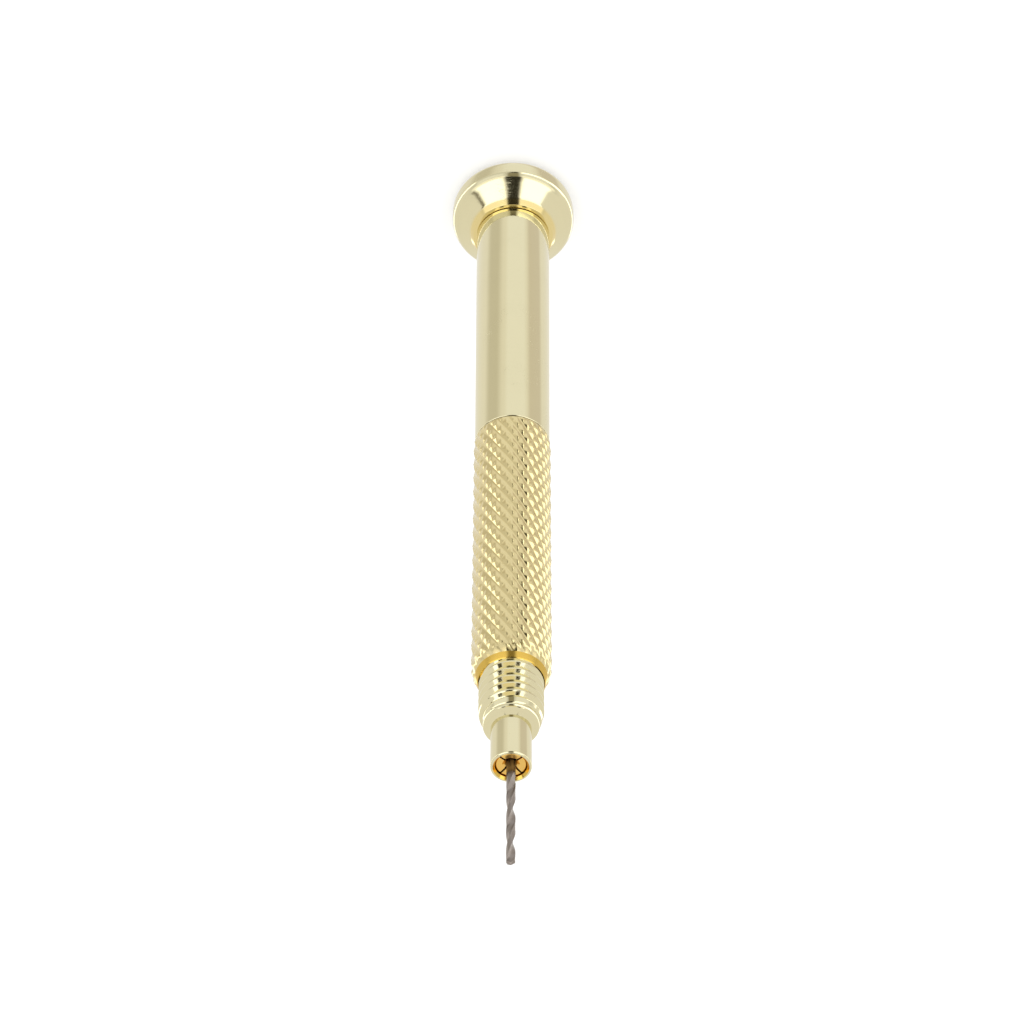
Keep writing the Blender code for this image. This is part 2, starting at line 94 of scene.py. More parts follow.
class GripSettings(PropertyGroup):
    ridges: IntProperty(
        name="Knurl Ridges", description="Ridges of each hand around the grip", default=22, min=12, max=36)
    rise: FloatProperty(
        name="Knurl Pitch", description="Length of one diamond along the grip", default=1.68 * MM,
        min=0.8 * MM, max=3 * MM, unit="LENGTH")
    main_depth: FloatProperty(
        name="Main Depth", description="Depth of the knurl's deeper grooves", default=0.15 * MM,
        min=0, max=0.3 * MM, unit="LENGTH")
    cross_depth: FloatProperty(
        name="Cross Depth", description="Depth of the grooves that cross them", default=0.10 * MM,
        min=0, max=0.3 * MM, unit="LENGTH")
    taper: FloatProperty(
        name="End Taper", description="Length over which the grip narrows towards the chuck",
        default=1.34 * MM, min=0.8 * MM, max=2 * MM, unit="LENGTH")
    ring_radius: FloatProperty(
        name="Ring Radius", description="Radius at which the knurl gives way to the bare ring",
        default=2.81 * MM, min=2.7 * MM, max=2.95 * MM, unit="LENGTH")


class ChuckSettings(PropertyGroup):
    pitch: FloatProperty(
        name="Thread Pitch", description="Advance of the thread in one turn", default=0.8 * MM,
        min=0.5 * MM, max=1 * MM, unit="LENGTH")
    crest: FloatProperty(
        name="Thread Crest", description="Outer radius of the thread", default=2.5 * MM,
        min=2.3 * MM, max=2.5 * MM, unit="LENGTH")
    root: FloatProperty(
        name="Thread Root", description="Radius at the bottom of the thread", default=2.1 * MM,
        min=2.05 * MM, max=2.3 * MM, unit="LENGTH")
    shoulder: FloatProperty(
        name="Shoulder Radius", description="Radius that the thread tapers down to", default=2.15 * MM,
        min=2.1 * MM, max=2.4 * MM, unit="LENGTH")
    nose: FloatProperty(
        name="Nose Radius", description="Radius of the nose at its mouth", default=1.56 * MM,
        min=1.4 * MM, max=1.7 * MM, unit="LENGTH")
    slit: FloatProperty(
        name="Jaw Slit", description="Width of the slits between the jaws", default=0.15 * MM,
        min=0.05 * MM, max=0.4 * MM, unit="LENGTH")


class DrillSettings(PropertyGroup):
    lead: FloatProperty(
        name="Flute Lead", description="Length of one full turn of a flute", default=7.26 * MM,
        min=3 * MM, max=12 * MM, unit="LENGTH")
    flute_depth: FloatProperty(
        name="Flute Depth", description="Depth of the two flutes", default=0.19 * MM,
        min=0, max=0.25 * MM, unit="LENGTH")
    flute_width: FloatProperty(
        name="Flute Half Width", description="Half the angle that a flute takes", default=math.radians(54),
        min=math.radians(20), max=math.radians(80), subtype="ANGLE")
    point_angle: FloatProperty(
        name="Point Angle", description="Full angle of the conical point", default=math.radians(100),
        min=math.radians(90), max=math.radians(140), subtype="ANGLE")


class FinishSettings(PropertyGroup):
    gold: FloatVectorProperty(
        name="Polished Brass", description="Colour of the polished pale brass", subtype="COLOR",
        default=(0.775, 0.716, 0.468), min=0, max=1)
    # Painted reflection and shade: a deeper gold for the cap's step, standing in for the tube's brass
    # mirrored there.
    painted_step_gold: FloatVectorProperty(
        name="Step Brass, Painted Reflection", description="Colour of the brass on the cap's step", subtype="COLOR",
        default=(0.80, 0.66, 0.31), min=0, max=1)
    # Painted shade and reflection: a darker, more golden copy of the brass for the knurled grip, standing in
    # for the light its grooves lose and pass between facets.
    painted_knurl_gold: FloatVectorProperty(
        name="Knurl Brass, Painted Shade", description="Colour of the brass where it was knurled", subtype="COLOR",
        default=(0.755, 0.64, 0.335), min=0, max=1)
    # Painted reflection and shade: a deep, dark gold for the grip's end ring and the sleeve's mouth, standing
    # in for brass mirrored in brass.
    painted_cavity_gold: FloatVectorProperty(
        name="Cavity Brass, Painted Reflection", description="Colour of the brass in the grip's end ring and the sleeve's mouth, as painted reflection", subtype="COLOR",
        default=(0.70, 0.47, 0.10), min=0, max=1)
    jaw: FloatVectorProperty(
        name="Jaw Brass", description="Colour of the collet's warm unpolished brass", subtype="COLOR",
        default=(0.87, 0.55, 0.15), min=0, max=1)
    bearing: FloatVectorProperty(
        name="Bearing Steel", description="Colour of the ground bearing steel", subtype="COLOR",
        default=(0.56, 0.56, 0.58), min=0, max=1)
    drill: FloatVectorProperty(
        name="Drill Steel", description="Colour of the drill's dark tool steel", subtype="COLOR",
        default=(0.30, 0.26, 0.235), min=0, max=1)
    floor: FloatVectorProperty(
        name="Floor", description="Colour of the floor", subtype="COLOR", default=(0.9, 0.9, 0.9),
        min=0, max=1)


# ---------------------------------------------------------------- outlines and turned shapes

def unit(r, z):
    """The direction of (r, z), one long."""
    length = math.hypot(r, z)
    return r / length, z / length


def arc(centre_r, centre_z, radius, first, last, steps=10):
    """Points (r, z) along an arc, from the first angle to the last."""
    angles = [first + (last - first) * step / steps for step in range(steps + 1)]
    return [(centre_r + radius * math.cos(angle), centre_z + radius * math.sin(angle)) for angle in angles]


def rounded(corners, steps=10):
    """The outline through corners (r, z) or (r, z, edge radius), with arcs at the rounded ones."""
    points = []
    for index, corner in enumerate(corners):
        if isinstance(corner, dict) or len(corner) == 2:
            points.append(corner)
            continue
        r, z, radius = corner
        before = corners[index - 1]
        after = corners[(index + 1) % len(corners)]
        in_r, in_z = unit(before[0] - r, before[1] - z)
        out_r, out_z = unit(after[0] - r, after[1] - z)
        half = math.acos(in_r * out_r + in_z * out_z) / 2
        mid_r, mid_z = unit(in_r + out_r, in_z + out_z)
        centre_r = r + mid_r * radius / math.sin(half)
        centre_z = z + mid_z * radius / math.sin(half)
        reach = radius / math.tan(half)
        first = math.atan2(z + in_z * reach - centre_z, r + in_r * reach - centre_r)
        last = math.atan2(z + out_z * reach - centre_z, r + out_r * reach - centre_r)
        sweep = (last - first + math.pi) % (2 * math.pi) - math.pi
        points += arc(centre_r, centre_z, radius, first, first + sweep, steps)
    return points


def ring(mesh, r, z, segments):
    """A level ring of vertices, or a single vertex on the axis."""
    if r == 0:
        return [mesh.verts.new((0, 0, z))]
    turn = 2 * math.pi / segments
    return [mesh.verts.new((r * math.cos(turn * i), r * math.sin(turn * i), z)) for i in range(segments)]


def bridge(mesh, lower, upper, slot=0):
    """Faces between two rings, either of which may be a single vertex."""
    if len(lower) == 1:
        lower, upper = upper, lower
    count = len(lower)
    for i in range(count):
        j = (i + 1) % count
        far = (upper[0],) if len(upper) == 1 else (upper[j], upper[i])
        mesh.faces.new((lower[i], lower[j], *far)).material_index = slot


def thread_strip(mesh, below, thread, segments):
    """A helical thread that grows out of the ring below it; returns the function that closes its top."""
    profile = thread["profile"]
    last = thread["turns"] * segments
    fade = segments // 4
    columns = []
    for k in range(last + 1):
        angle = 2 * math.pi * k / segments
        column = []
        for fraction, radius in profile:
            start = min(1, k / fade)
            end = min(1, (last - k) / fade)
            r = radius + (thread["start_r"] - radius) * (1 - start)
            r += (thread["end_r"] - r) * (1 - end)
            z = thread["z"] + thread["pitch"] * (k / segments + fraction)
            r = min(r, thread["limit"](z))
            column.append(mesh.verts.new((r * math.cos(angle), r * math.sin(angle), z)))
        columns.append(column)
    for k in range(last + 1):
        if k + segments <= last:
            columns[k].append(columns[k + segments][0])
            continue
        angle = 2 * math.pi * k / segments
        z = thread["z"] + thread["pitch"] * (k / segments + 1)
        r = thread["end_r"]
        columns[k].append(mesh.verts.new((r * math.cos(angle), r * math.sin(angle), z)))
    for k in range(last):
        for j in range(len(profile)):
            mesh.faces.new((columns[k][j], columns[k + 1][j], columns[k + 1][j + 1], columns[k][j + 1]))
    for k in range(segments - 1):
        mesh.faces.new((below[k], below[k + 1], columns[k + 1][0], columns[k][0]))
    hub = columns[segments - 1][0]
    edge = [below[segments - 1], below[0], *columns[0]]
    for first, second in zip(edge, edge[1:]):
        mesh.faces.new((hub, first, second))

    def close(above):
        top = [column[-1] for column in columns[last - segments:]]
        for k in range(1, segments):
            mesh.faces.new((top[k], top[k + 1], above[(k + 1) % segments], above[k]))
        edge = [*columns[last], above[0], above[1]]
        for first, second in zip(edge, edge[1:]):
            mesh.faces.new((top[1], first, second))

    return close


def turn_outline(mesh, outline, segments, closed=True, slots=None):
    """Sweep an outline (r, z) round the axis; slots gives the material of the band that starts at a point."""
    slots = slots or {}
    first = previous = close = None
    slot = 0
    for index, entry in enumerate(outline):
        if isinstance(entry, dict):
            close = thread_strip(mesh, previous, entry, segments)
            continue
        current = ring(mesh, entry[0], entry[1], segments)
        if close:
            close(current)
            close = None
        elif previous:
            bridge(mesh, previous, current, slot)
        slot = slots.get(index, 0)
        first = first or current
        previous = current
    if closed:
        bridge(mesh, previous, first, slot)


def finish_piece(name, mesh, materials, sharp=35, clean=True):
    """Turn a mesh under construction into a named, smooth object at the origin."""
    if clean:
        bmesh.ops.recalc_face_normals(mesh, faces=mesh.faces)
        if mesh.calc_volume(signed=True) < 0:
            bmesh.ops.reverse_faces(mesh, faces=mesh.faces)
    data = bpy.data.meshes.new(name)
    mesh.to_mesh(data)
    mesh.free()
    data.shade_smooth()
    data.set_sharp_from_angle(angle=math.radians(sharp))
    for material in materials:
        data.materials.append(material)
    piece = bpy.data.objects.new(name, data)
    bpy.context.scene.collection.objects.link(piece)
    return piece


def place(piece, body, node):
    """Let a piece ride on its body and stand for its solid, which it hides."""
    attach(piece, body)
    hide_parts(node)


# ---------------------------------------------------------------- materials

def new_node(tree, kind, inputs=None, **settings):
    """Add a node, set its settings, and set or link its inputs by name or number."""
    node = tree.nodes.new(kind)
    for key, value in settings.items():
        setattr(node, key, value)
    for key, value in (inputs or {}).items():
        if isinstance(value, bpy.types.NodeSocket):
            tree.links.new(value, node.inputs[key])
        else:
            node.inputs[key].default_value = value
    return node


def maths(tree, operation, first, second=0.0):
    """The output of a math node."""
    return new_node(tree, "ShaderNodeMath", {0: first, 1: second}, operation=operation).outputs[0]


def smooth_step(tree, value, low, high, to_low=0.0, to_high=1.0):
    """A smooth ramp from to_low at low to to_high at high."""
    node = new_node(tree, "ShaderNodeMapRange", {"Value": value, "From Min": low, "From Max": high,
                    "To Min": to_low, "To Max": to_high}, interpolation_type="SMOOTHSTEP")
    return node.outputs["Result"]


def mix_colour(tree, factor, first, second):
    """The colour output of a mix node."""
    return new_node(tree, "ShaderNodeMix", {0: factor, 6: first, 7: second}, data_type="RGBA").outputs[2]


def group_tree(name, inputs, outputs):
    """A new shader node group with named sockets, and its two end nodes."""
    tree = bpy.data.node_groups.new(name, "ShaderNodeTree")
    for label, kind, default in inputs:
        socket = tree.interface.new_socket(name=label, in_out="INPUT", socket_type=kind)
        socket.default_value = default
    for label, kind in outputs:
        tree.interface.new_socket(name=label, in_out="OUTPUT", socket_type=kind)
    return tree, tree.nodes.new("NodeGroupInput"), tree.nodes.new("NodeGroupOutput")


def turning_marks():
    """Fine lathe lines round the axis: their height, and a mask of the brighter ones."""
    name = "Turning Marks"
    if name in bpy.data.node_groups:
        return bpy.data.node_groups[name]
    tree, start, end = group_tree(
        name,
        [("Pitch", "NodeSocketFloat", 0.12 * MM), ("Waver", "NodeSocketFloat", 0.15)],
        [("Height", "NodeSocketFloat"), ("Lines", "NodeSocketFloat")])
    point = new_node(tree, "ShaderNodeTexCoord").outputs["Object"]
    split = new_node(tree, "ShaderNodeSeparateXYZ", {0: point}).outputs
    squares = maths(tree, "ADD", maths(tree, "POWER", split["X"], 2.0), maths(tree, "POWER", split["Y"], 2.0))
    along = maths(tree, "ADD", maths(tree, "SQRT", squares), split["Z"])
    waver = new_node(tree, "ShaderNodeTexNoise", {"Vector": point, "Scale": 260.0, "Detail": 1.0}).outputs[0]
    offset = maths(tree, "MULTIPLY", waver, start.outputs["Waver"])
    turns = maths(tree, "ADD", maths(tree, "DIVIDE", along, start.outputs["Pitch"]), offset)
    lines = new_node(tree, "ShaderNodeTexNoise", {"W": turns, "Scale": 1.0, "Detail": 3.0, "Roughness": 0.6},
                     noise_dimensions="1D").outputs[0]
    tree.links.new(lines, end.inputs["Height"])
    tree.links.new(smooth_step(tree, lines, 0.45, 0.7), end.inputs["Lines"])
    return tree


def handling_marks():
    """Soft smears and sparse hairline scratches from handling, as two masks."""
    name = "Handling Marks"
    if name in bpy.data.node_groups:
        return bpy.data.node_groups[name]
    tree, start, end = group_tree(
        name,
        [("Smear Size", "NodeSocketFloat", 4 * MM), ("Scratch Size", "NodeSocketFloat", 1.2 * MM)],
        [("Smears", "NodeSocketFloat"), ("Scratches", "NodeSocketFloat")])
    point = new_node(tree, "ShaderNodeTexCoord").outputs["Object"]
    smear_scale = maths(tree, "DIVIDE", 1.0, start.outputs["Smear Size"])
    smears = new_node(tree, "ShaderNodeTexNoise", {"Vector": point, "Scale": smear_scale, "Detail": 4.0,
                      "Roughness": 0.55, "Distortion": 0.6}).outputs[0]
    scratch_scale = maths(tree, "DIVIDE", 1.0, start.outputs["Scratch Size"])
    stretched = new_node(tree, "ShaderNodeMapping", {"Vector": point, "Rotation": (0.5, 0.3, 0.9),
                         "Scale": (1.0, 9.0, 0.6)}).outputs[0]
    cells = new_node(tree, "ShaderNodeTexVoronoi", {"Vector": stretched, "Scale": scratch_scale},
                     feature="DISTANCE_TO_EDGE").outputs["Distance"]
    patches = smooth_step(tree, smears, 0.52, 0.66)
    scratches = maths(tree, "MULTIPLY", smooth_step(tree, cells, 0.0, 0.035, 1.0, 0.0), patches)
    tree.links.new(smooth_step(tree, smears, 0.35, 0.7), end.inputs["Smears"])
    tree.links.new(scratches, end.inputs["Scratches"])
    return tree


def painted_step_tint(tree, colour, low, high, deep):
    """Deepen a colour between two heights: painted reflection and shade, the deeper gold of brass mirroring
    brass.
    """
    point = new_node(tree, "ShaderNodeTexCoord").outputs["Object"]
    level = new_node(tree, "ShaderNodeSeparateXYZ", {0: point}).outputs["Z"]
    return mix_colour(tree, smooth_step(tree, level, low, high), colour, (*deep, 1))


def metal(name, colour, warm, roughness, rough_smear, mark_pitch, mark_height, scratch=0.3, recess=None):
    """A turned metal: lathe lines and scratches as relief, smears in gloss and a slight drift of colour."""
    if name in bpy.data.materials:
        return bpy.data.materials[name]
    material = bpy.data.materials.new(name)
    material.use_nodes = True
    tree = material.node_tree
    shader = tree.nodes["Principled BSDF"]
    shader.inputs["Metallic"].default_value = 1
    marks = new_node(tree, "ShaderNodeGroup", node_tree=turning_marks())
    marks.inputs["Pitch"].default_value = mark_pitch
    wear = new_node(tree, "ShaderNodeGroup", node_tree=handling_marks())
    smears, scratches = wear.outputs["Smears"], wear.outputs["Scratches"]
    drift = maths(tree, "ADD", maths(tree, "MULTIPLY", smears, 0.35),
                  maths(tree, "MULTIPLY", marks.outputs["Lines"], 0.2))
    base = mix_colour(tree, drift, (*colour, 1), (*warm, 1))
    # recess deepens the colour between two heights: painted reflection and shade of brass mirrored in brass.
    if recess:
        base = painted_step_tint(tree, base, *recess)
    tree.links.new(base, shader.inputs["Base Color"])
    gloss = maths(tree, "ADD", maths(tree, "MULTIPLY", smears, rough_smear), roughness)
    gloss = maths(tree, "ADD", gloss, maths(tree, "MULTIPLY", scratches, scratch))
    tree.links.new(gloss, shader.inputs["Roughness"])
    height = maths(tree, "SUBTRACT", marks.outputs["Height"], maths(tree, "MULTIPLY", scratches, scratch))
    bump = new_node(tree, "ShaderNodeBump", {"Height": height, "Distance": mark_height, "Strength": 1.0})
    tree.links.new(bump.outputs[0], shader.inputs["Normal"])
    return material


def shade(colour, factor):
    """A colour made darker or lighter."""
    return tuple(min(1, channel * factor) for channel in colour)


def polished_brass():
    finish = bpy.context.scene.pin_vise_finish
    return metal("Polished Pale Brass", finish.gold, shade(finish.gold, 0.95), 0.045, 0.03, 0.11 * MM,
                 0.00004 * MM)


def cap_brass():
    finish = bpy.context.scene.pin_vise_finish
    # The colour deepens from 3.62 mm to 3.95 mm up the cap, into the step: painted reflection and shade.
    return metal("Cap Brass", finish.gold, shade(finish.gold, 0.95), 0.09, 0.03, 0.11 * MM, 0.00004 * MM,
                 recess=(3.62 * MM, 3.95 * MM, finish.painted_step_gold))


def painted_knurl_brass():
    finish = bpy.context.scene.pin_vise_finish
    # The grip's darker, more golden brass is painted shade and reflection of its grooves.
    return metal("Knurl Brass, Painted Shade", finish.painted_knurl_gold, shade(finish.painted_knurl_gold, 0.93), 0.11, 0.05, 0.2 * MM,
                 0.0001 * MM)


def painted_cavity_brass():
    finish = bpy.context.scene.pin_vise_finish
    # Deep gold for the end ring and the mouth: painted reflection and shade.
    return metal("Brass With Painted Cavity Reflection", finish.painted_cavity_gold, shade(finish.painted_cavity_gold, 0.9), 0.12, 0.05, 0.06 * MM,
                 0.0003 * MM)


def jaw_brass():
    finish = bpy.context.scene.pin_vise_finish
    return metal("Collet Brass", finish.jaw, shade(finish.jaw, 0.8), 0.16, 0.08, 0.08 * MM, 0.0006 * MM)


def bearing_steel():
    finish = bpy.context.scene.pin_vise_finish
    return metal("Bearing Steel", finish.bearing, shade(finish.bearing, 0.9), 0.12, 0.06, 0.05 * MM,
                 0.0002 * MM)


def drill_steel():
    finish = bpy.context.scene.pin_vise_finish
    return metal("Drill Steel", finish.drill, shade(finish.drill, 0.8), 0.28, 0.12, 0.07 * MM, 0.0008 * MM)


# ---------------------------------------------------------------- pieces

class PINVISE_OT_cap(Operator):
    """The swivel cap: rounded rim, cone and a steeper step, with the cover's seat and the bearing recess"""
    bl_idname = "pin_vise.cap"
    bl_label = "Swivel Cap"

    def execute(self, context):
        settings = context.scene.pin_vise_cap
        radius = CAP_HIGH.x
        top = CAP_HIGH.z
        neck = settings.neck_radius
        step = neck + settings.step_width
        step_level = settings.rim_top + (radius - step) / settings.cone_slope
        seat = COVER_HIGH.x + 0.05 * MM
        seat_level = COVER_HIGH.z + 0.05 * MM
        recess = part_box("housing_washer")[1].x + 0.15 * MM
        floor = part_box("housing_washer")[0].z - 0.05 * MM
        bore = 0.95 * MM
        pocket = 2.1 * MM
        pocket_top = 1.6 * MM
        outline = rounded([
            (seat, CAP_LOW.z, 0.08 * MM),
            (radius, CAP_LOW.z, settings.end_edge),
            (radius, settings.rim_top, settings.rim_edge),
            (step, step_level, 0.5 * MM),
            (neck + 0.28 * MM, top - 0.02 * MM, 0.05 * MM),
            (neck + 0.04 * MM, top, 0.03 * MM),
            (recess, top, 0.05 * MM),
            (recess, floor),
            (bore, floor),
            (bore, pocket_top),
            (pocket, pocket_top),
            (pocket, seat_level),
            (seat, seat_level),
        ])
        mesh = bmesh.new()
        turn_outline(mesh, outline, 192)
        piece = finish_piece("cap_shell", mesh, [cap_brass()])
        place(piece, "cap", "swivel_cap")
        return {"FINISHED"}


class PINVISE_OT_cover(Operator):
    """The dished disc that closes the cap's end, with two fine rings turned into it"""
    bl_idname = "pin_vise.cover"
    bl_label = "Cap Cover"

    def execute(self, context):
        radius, low, high = COVER_HIGH.x, COVER_LOW.z, COVER_HIGH.z
        dish = low + 0.12 * MM
        groove = 0.06 * MM
        outline = [(0, dish), (radius * 0.2, dish - 0.01 * MM)]
        for share in (0.42, 0.62):
            centre = radius * share
            outline += [(centre - groove, dish), (centre, dish + groove), (centre + groove, dish)]
        outline += rounded([
            (radius * 0.8, dish, 0.1 * MM),
            (radius * 0.86, low, 0.1 * MM),
            (radius, low, 0.05 * MM),
            (radius, high),
        ])
        outline.append((0, high))
        mesh = bmesh.new()
        turn_outline(mesh, outline, 160, closed=False)
        piece = finish_piece("cap_end_disc", mesh, [polished_brass()])
        place(piece, "cap", "cap_cover")
        return {"FINISHED"}


class PINVISE_OT_tube(Operator):
    """The smooth handle tube with the spigot for the grip"""
    bl_idname = "pin_vise.tube"
    bl_label = "Handle Tube"

    def execute(self, context):
        radius = TUBE_HIGH.x
        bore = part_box("pivot_plug")[1].x + 0.05 * MM
        shoulder = GRIP_LOW.z - 0.05 * MM
        taper_start = 13 * MM
        spigot = 2.6 * MM
        outline = rounded([
            (radius, TUBE_LOW.z, 0.08 * MM),
            (radius, taper_start),
            (radius - 0.05 * MM, shoulder, 0.06 * MM),
            (spigot, shoulder),
            (spigot, TUBE_HIGH.z),
            (bore, TUBE_HIGH.z),
            (bore, TUBE_LOW.z, 0.06 * MM),
        ])
        mesh = bmesh.new()
        turn_outline(mesh, outline, 192)
        piece = finish_piece("smooth_tube", mesh, [polished_brass()])
        place(piece, "handle", "handle_tube")
        return {"FINISHED"}


class PINVISE_OT_grip(Operator):
    """The knurled grip: crossed helical grooves that leave diamonds, with plain ends"""
    bl_idname = "pin_vise.grip"
    bl_label = "Knurled Grip"

    @staticmethod
    def groove(position, depth):
        """Depth of a groove that repeats at whole numbers, with soft crests and bottoms."""
        away = 2 * abs(position - round(position))
        return depth * (0.85 * (1 - away) + 0.075 * (1 + math.cos(math.pi * away)))

    @staticmethod
    def ring_level(settings):
        """Height at which the knurled taper ends and the bare ring begins."""
        return GRIP_HIGH.z - 0.41 * settings.taper

    def plain_radius(self, settings, z):
        """Radius of the turned blank at height z: rounded at the tube, tapered at the chuck."""
        radius = GRIP_HIGH.x
        edge = 0.34 * MM
        start = GRIP_HIGH.z - settings.taper
        if z < GRIP_LOW.z + edge:
            return radius - 0.13 * MM * (1 - (z - GRIP_LOW.z) / edge) ** 2
        if z > start:
            share = (z - start) / (self.ring_level(settings) - start)
            return radius - (radius - settings.ring_radius) * (0.6 * share + 0.4 * share ** 2)
        return radius

    def cut_share(self, settings, z):
        """How much of the knurl's depth is left at height z: it runs out along both ends."""
        start = GRIP_HIGH.z - settings.taper
        faded = (z - start) / (self.ring_level(settings) - start)
        low = (z - GRIP_LOW.z) / (0.3 * MM)
        return max(0.0, min(1.0, 1 - 0.55 * faded, 0.2 + 0.8 * low))

    def execute(self, context):
        settings = context.scene.pin_vise_grip
        fineness = 8
        around = 2 * settings.ridges * fineness
        top = self.ring_level(settings)
        rows = math.ceil((top - GRIP_LOW.z) / (settings.rise / 2) * fineness)
        mesh = bmesh.new()
        points = {}
        for row in range(rows + 1):
            z = min(GRIP_LOW.z + settings.rise / 2 * row / fineness, top)
            plain = self.plain_radius(settings, z)
            kept = self.cut_share(settings, z)
            for column in range(around):
                if (row + column) % 2:
                    continue
                falling = (column + row) / 2 / fineness
                rising = (column - row) / 2 / fineness
                main_cut = self.groove(falling, settings.main_depth)
                cross_cut = self.groove(rising, settings.cross_depth)
                r = plain - max(main_cut, cross_cut) * kept
                angle = 2 * math.pi * column / around
                points[column, row] = mesh.verts.new((r * math.cos(angle), r * math.sin(angle), z))
        for column, row in list(points):
            corners = [points.get(((column + across) % around, row + up))
                       for across, up in ((0, 0), (1, -1), (2, 0), (1, 1))]
            if all(corners):
                mesh.faces.new(corners)
        # The knurl takes the darker, more golden brass: painted shade and reflection of its grooves.
        skin = finish_piece("grip_knurl", mesh, [painted_knurl_brass()], sharp=180, clean=False)
        place(skin, "handle", "knurled_grip")

        spigot_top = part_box("handle_tube")[1].z
        stop_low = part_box("collet_stop")[0].z
        stop_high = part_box("collet_stop")[1].z
        stop_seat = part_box("collet_stop")[1].x + 0.05 * MM
        thread_seat = 2.53 * MM
        web = 1.9 * MM
        counterbore = 2.65 * MM
        under = settings.main_depth + 0.02 * MM
        outline = [
            (GRIP_HIGH.x - under, GRIP_HIGH.z - settings.taper),
            (self.plain_radius(settings, top) - 0.1 * MM, top - 0.1 * MM),
            (settings.ring_radius - 0.008 * MM, top - 0.012 * MM),
            (settings.ring_radius - 0.03 * MM, top + 0.04 * MM),
            (thread_seat + 0.09 * MM, GRIP_HIGH.z - 0.1 * MM),
            (thread_seat + 0.05 * MM, GRIP_HIGH.z - 0.02 * MM),
            (thread_seat + 0.02 * MM, GRIP_HIGH.z),
            (thread_seat, GRIP_HIGH.z - 0.04 * MM),
            (thread_seat, stop_high + 0.5 * MM),
            (stop_seat, stop_high + 0.5 * MM),
            (stop_seat, stop_low - 0.05 * MM),
            (web, stop_low - 0.05 * MM),
            (web, spigot_top + 0.05 * MM),
            (counterbore, spigot_top + 0.05 * MM),
            (counterbore, GRIP_LOW.z + 0.01 * MM),
            (GRIP_HIGH.x - 0.15 * MM, GRIP_LOW.z + 0.01 * MM),
            (GRIP_HIGH.x - under, GRIP_LOW.z + 0.3 * MM),
        ]
        mesh = bmesh.new()
        # Slot 0 takes the knurl's darker brass, painted shade; slot 1, the bare end ring and the faces and
        # seat inside it, takes the deep gold, painted reflection and shade.
        turn_outline(mesh, outline, 176, slots=dict.fromkeys(range(1, 9), 1))
        core = finish_piece("grip_body", mesh, [painted_knurl_brass(), painted_cavity_brass()])
        place(core, "handle", "knurled_grip")
        return {"FINISHED"}


class PINVISE_OT_sleeve(Operator):
    """The chuck sleeve: thread, conical shoulder, nose, and the closing cone inside"""
    bl_idname = "pin_vise.sleeve"
    bl_label = "Chuck Sleeve"

    @staticmethod
    def thread_profile(settings):
        """One pitch of the thread as (share of the pitch, radius): straight flanks, flat root and crest."""
        middle = (settings.root + settings.crest) / 2
        half = (settings.crest - settings.root) / 2
        steps = 24
        root_centre = 0.125
        steepness = 1.5
        profile = []
        for step in range(steps):
            share = step / steps
            from_root = abs((share - root_centre + 0.5) % 1 - 0.5)
            rise = max(-1, min(1, steepness * (4 * from_root - 1)))
            profile.append((share, middle + half * rise))
        return profile

    def execute(self, context):
        settings = context.scene.pin_vise_chuck
        bore = 1.45 * MM
        bottom = SLEEVE_LOW.z
        thread_bottom = bottom + 0.67 * MM
        turns = 13
        thread_top = thread_bottom + settings.pitch * (turns + 1)
        shoulder_top = thread_top + 0.17 * MM
        nose_start = shoulder_top + 0.5 * (settings.shoulder - settings.nose)
        taper_start = 64.2 * MM
        taper = (settings.crest - settings.shoulder) / (thread_top - taper_start)
        lip = (1.38 * MM, SLEEVE_HIGH.z)
        mouth = 1.22 * MM
        cone_bottom = 66 * MM
        thread = {
            "z": thread_bottom,
            "pitch": settings.pitch,
            "turns": turns,
            "start_r": settings.root,
            "end_r": settings.shoulder,
            "profile": self.thread_profile(settings),
            "limit": lambda z: settings.crest - taper * max(0, z - taper_start),
        }
        outline = rounded([
            (bore, bottom),
            (settings.root - 0.2 * MM, bottom),
            (settings.root, bottom + 0.2 * MM),
            (settings.root, thread_bottom - 0.05 * MM),
            thread,
            (settings.shoulder, thread_top + 0.05 * MM),
            (settings.shoulder - 0.03 * MM, shoulder_top - 0.04 * MM),
            (settings.shoulder - 0.09 * MM, shoulder_top),
            (settings.shoulder - 0.13 * MM, shoulder_top + 0.02 * MM),
            (settings.nose, nose_start),
            (settings.nose, SLEEVE_HIGH.z, 0.13 * MM),
            lip,
            (mouth, SLEEVE_HIGH.z - 0.22 * MM, 0.05 * MM),
            (bore, cone_bottom),
        ])
        # From the lip inwards the sleeve takes the deep gold: painted reflection and shade in the mouth.
        inside = range(outline.index(lip), len(outline))
        mesh = bmesh.new()
        turn_outline(mesh, outline, 120, slots=dict.fromkeys(inside, 1))
        piece = finish_piece("threaded_sleeve", mesh, [polished_brass(), painted_cavity_brass()])
        place(piece, "sleeve", "chuck_sleeve")
        return {"FINISHED"}


